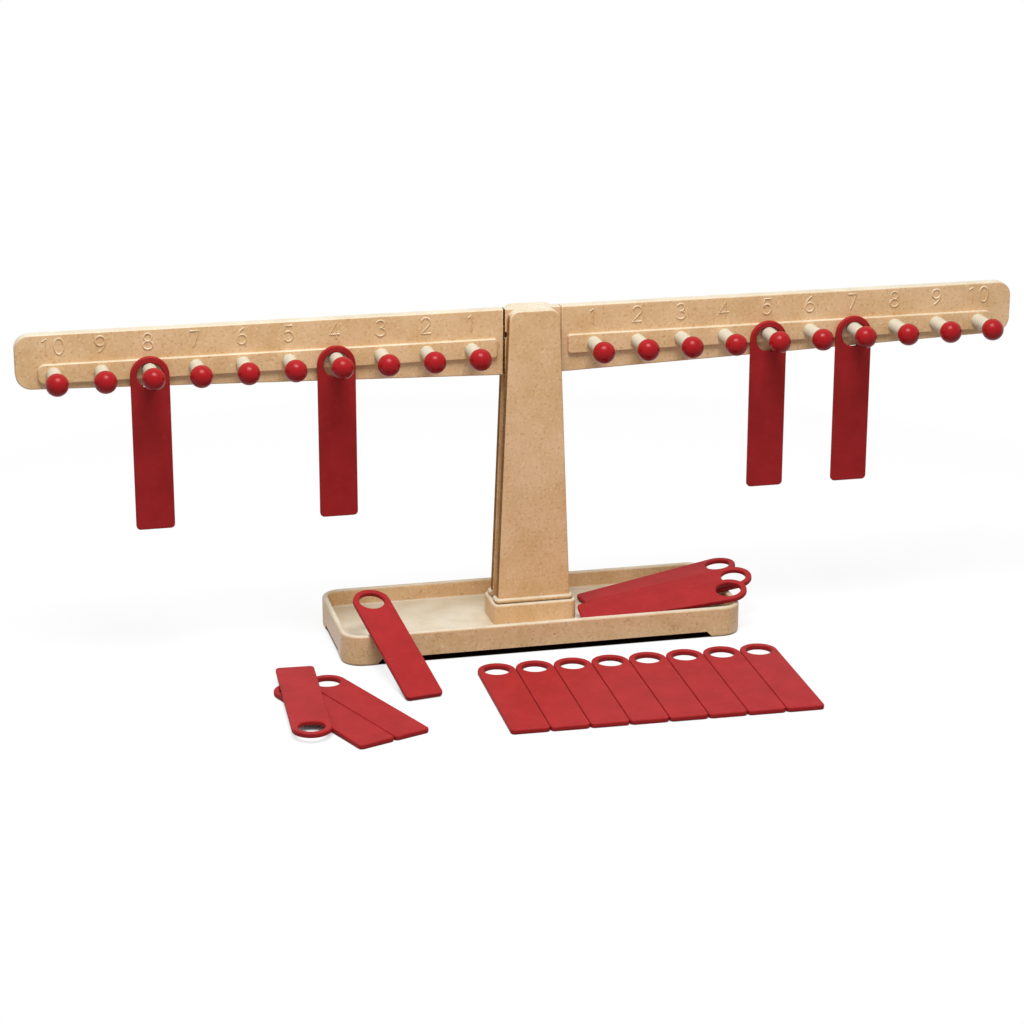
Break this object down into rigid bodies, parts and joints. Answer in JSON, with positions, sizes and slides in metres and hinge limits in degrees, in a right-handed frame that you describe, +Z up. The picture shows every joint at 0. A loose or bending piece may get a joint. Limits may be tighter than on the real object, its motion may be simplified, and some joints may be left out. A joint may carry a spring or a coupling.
{
  "type": "number balance",
  "caption": "Number balance: a pegged beam pivots on a tapered column in a tray base, with flat ring-headed weights hung on its pegs, lying in the tray and laid out in front.",
  "frame": {"origin": "centre of the tray base's footprint on the table", "axes": "+X along the beam to the right, front with the knobs at -Y, +Z up"},
  "size_m": [0.65, 0.2295, 0.2165],
  "materials": {
    "wood_fibre": "moulded wood-fibre composite, tan with brown specks, satin",
    "cream_plastic": "moulded cream plastic, satin",
    "red_gloss": "glossy red",
    "red_matte": "matte red, faintly mottled",
    "steel": "plain steel"
  },
  "bodies": {
    "stand": {"base_tray": "wood_fibre", "column_front": "wood_fibre", "column_rear": "wood_fibre", "column_core": "wood_fibre", "pivot_pin": "steel"},
    "beam": {"beam_hub": "wood_fibre", "left_arm": "wood_fibre", "right_arm": "wood_fibre", "left_peg_stems": "cream_plastic", "right_peg_stems": "cream_plastic", "left_knob_1": "red_gloss", "left_knob_2": "red_gloss", "left_knob_3": "red_gloss", "left_knob_4": "red_gloss", "left_knob_5": "red_gloss", "left_knob_6": "red_gloss", "left_knob_7": "red_gloss", "left_knob_8": "red_gloss", "left_knob_9": "red_gloss", "left_knob_10": "red_gloss", "right_knob_1": "red_gloss", "right_knob_2": "red_gloss", "right_knob_3": "red_gloss", "right_knob_4": "red_gloss", "right_knob_5": "red_gloss", "right_knob_6": "red_gloss", "right_knob_7": "red_gloss", "right_knob_8": "red_gloss", "right_knob_9": "red_gloss", "right_knob_10": "red_gloss"},
    "hung_weight_left_8": {"hung_weight_left_8": "red_matte"},
    "hung_weight_left_4": {"hung_weight_left_4": "red_matte"},
    "hung_weight_right_5": {"hung_weight_right_5": "red_matte"},
    "hung_weight_right_7": {"hung_weight_right_7": "red_matte"},
    "row_weight_1": {"row_weight_1": "red_matte"},
    "row_weight_2": {"row_weight_2": "red_matte"},
    "row_weight_3": {"row_weight_3": "red_matte"},
    "row_weight_4": {"row_weight_4": "red_matte"},
    "row_weight_5": {"row_weight_5": "red_matte"},
    "row_weight_6": {"row_weight_6": "red_matte"},
    "row_weight_7": {"row_weight_7": "red_matte"},
    "row_weight_8": {"row_weight_8": "red_matte"},
    "pile_weight_left": {"pile_weight_left": "red_matte"},
    "pile_weight_right": {"pile_weight_right": "red_matte"},
    "pile_weight_top": {"pile_weight_top": "red_matte"},
    "leaning_weight": {"leaning_weight": "red_matte"},
    "fan_weight_front": {"fan_weight_front": "red_matte"},
    "fan_weight_middle": {"fan_weight_middle": "red_matte"},
    "fan_weight_rear": {"fan_weight_rear": "red_matte"}
  },
  "joints": [
    {"name": "beam_tilt", "type": "hinge", "parent": "stand", "child": "beam", "pos_m": [0, 0, 0.203], "axis": [0, 1, 0], "range_deg": [-10, 10]},
    {"name": "swing_left_8", "type": "hinge", "parent": "beam", "child": "hung_weight_left_8", "pos_m": [-0.24358, -0.016, 0.1918], "axis": [0, 1, 0], "range_deg": [-50, 50]},
    {"name": "swing_left_4", "type": "hinge", "parent": "beam", "child": "hung_weight_left_4", "pos_m": [-0.12718, -0.016, 0.1918], "axis": [0, 1, 0], "range_deg": [-50, 50]},
    {"name": "swing_right_5", "type": "hinge", "parent": "beam", "child": "hung_weight_right_5", "pos_m": [0.15627, -0.016, 0.1918], "axis": [0, 1, 0], "range_deg": [-18, 50]},
    {"name": "swing_right_7", "type": "hinge", "parent": "beam", "child": "hung_weight_right_7", "pos_m": [0.21447, -0.016, 0.1918], "axis": [0, 1, 0], "range_deg": [-50, 18]},
    {"name": "lift_row_weight_1", "type": "slide", "parent": "stand", "child": "row_weight_1", "axis": [0, 0, 1], "range_m": [0, 0.04]},
    {"name": "lift_row_weight_2", "type": "slide", "parent": "stand", "child": "row_weight_2", "axis": [0, 0, 1], "range_m": [0, 0.04]},
    {"name": "lift_row_weight_3", "type": "slide", "parent": "stand", "child": "row_weight_3", "axis": [0, 0, 1], "range_m": [0, 0.04]},
    {"name": "lift_row_weight_4", "type": "slide", "parent": "stand", "child": "row_weight_4", "axis": [0, 0, 1], "range_m": [0, 0.04]},
    {"name": "lift_row_weight_5", "type": "slide", "parent": "stand", "child": "row_weight_5", "axis": [0, 0, 1], "range_m": [0, 0.04]},
    {"name": "lift_row_weight_6", "type": "slide", "parent": "stand", "child": "row_weight_6", "axis": [0, 0, 1], "range_m": [0, 0.04]},
    {"name": "lift_row_weight_7", "type": "slide", "parent": "stand", "child": "row_weight_7", "axis": [0, 0, 1], "range_m": [0, 0.04]},
    {"name": "lift_row_weight_8", "type": "slide", "parent": "stand", "child": "row_weight_8", "axis": [0, 0, 1], "range_m": [0, 0.04]},
    {"name": "lift_leaning_weight", "type": "slide", "parent": "stand", "child": "leaning_weight", "axis": [0, 0, 1], "range_m": [0, 0.04]},
    {"name": "lift_pile_weight_left", "type": "slide", "parent": "stand", "child": "pile_weight_left", "axis": [0, 0, 1], "range_m": [0, 0.025]},
    {"name": "lift_pile_weight_right", "type": "slide", "parent": "pile_weight_left", "child": "pile_weight_right", "axis": [0, 0, 1], "range_m": [0, 0.025]},
    {"name": "lift_pile_weight_top", "type": "slide", "parent": "pile_weight_right", "child": "pile_weight_top", "axis": [0, 0, 1], "range_m": [0, 0.025]},
    {"name": "lift_fan_weight_rear", "type": "slide", "parent": "stand", "child": "fan_weight_rear", "axis": [0, 0, 1], "range_m": [0, 0.025]},
    {"name": "lift_fan_weight_middle", "type": "slide", "parent": "fan_weight_rear", "child": "fan_weight_middle", "axis": [0, 0, 1], "range_m": [0, 0.025]},
    {"name": "lift_fan_weight_front", "type": "slide", "parent": "fan_weight_middle", "child": "fan_weight_front", "axis": [0, 0, 1], "range_m": [0, 0.025]}
  ]
}
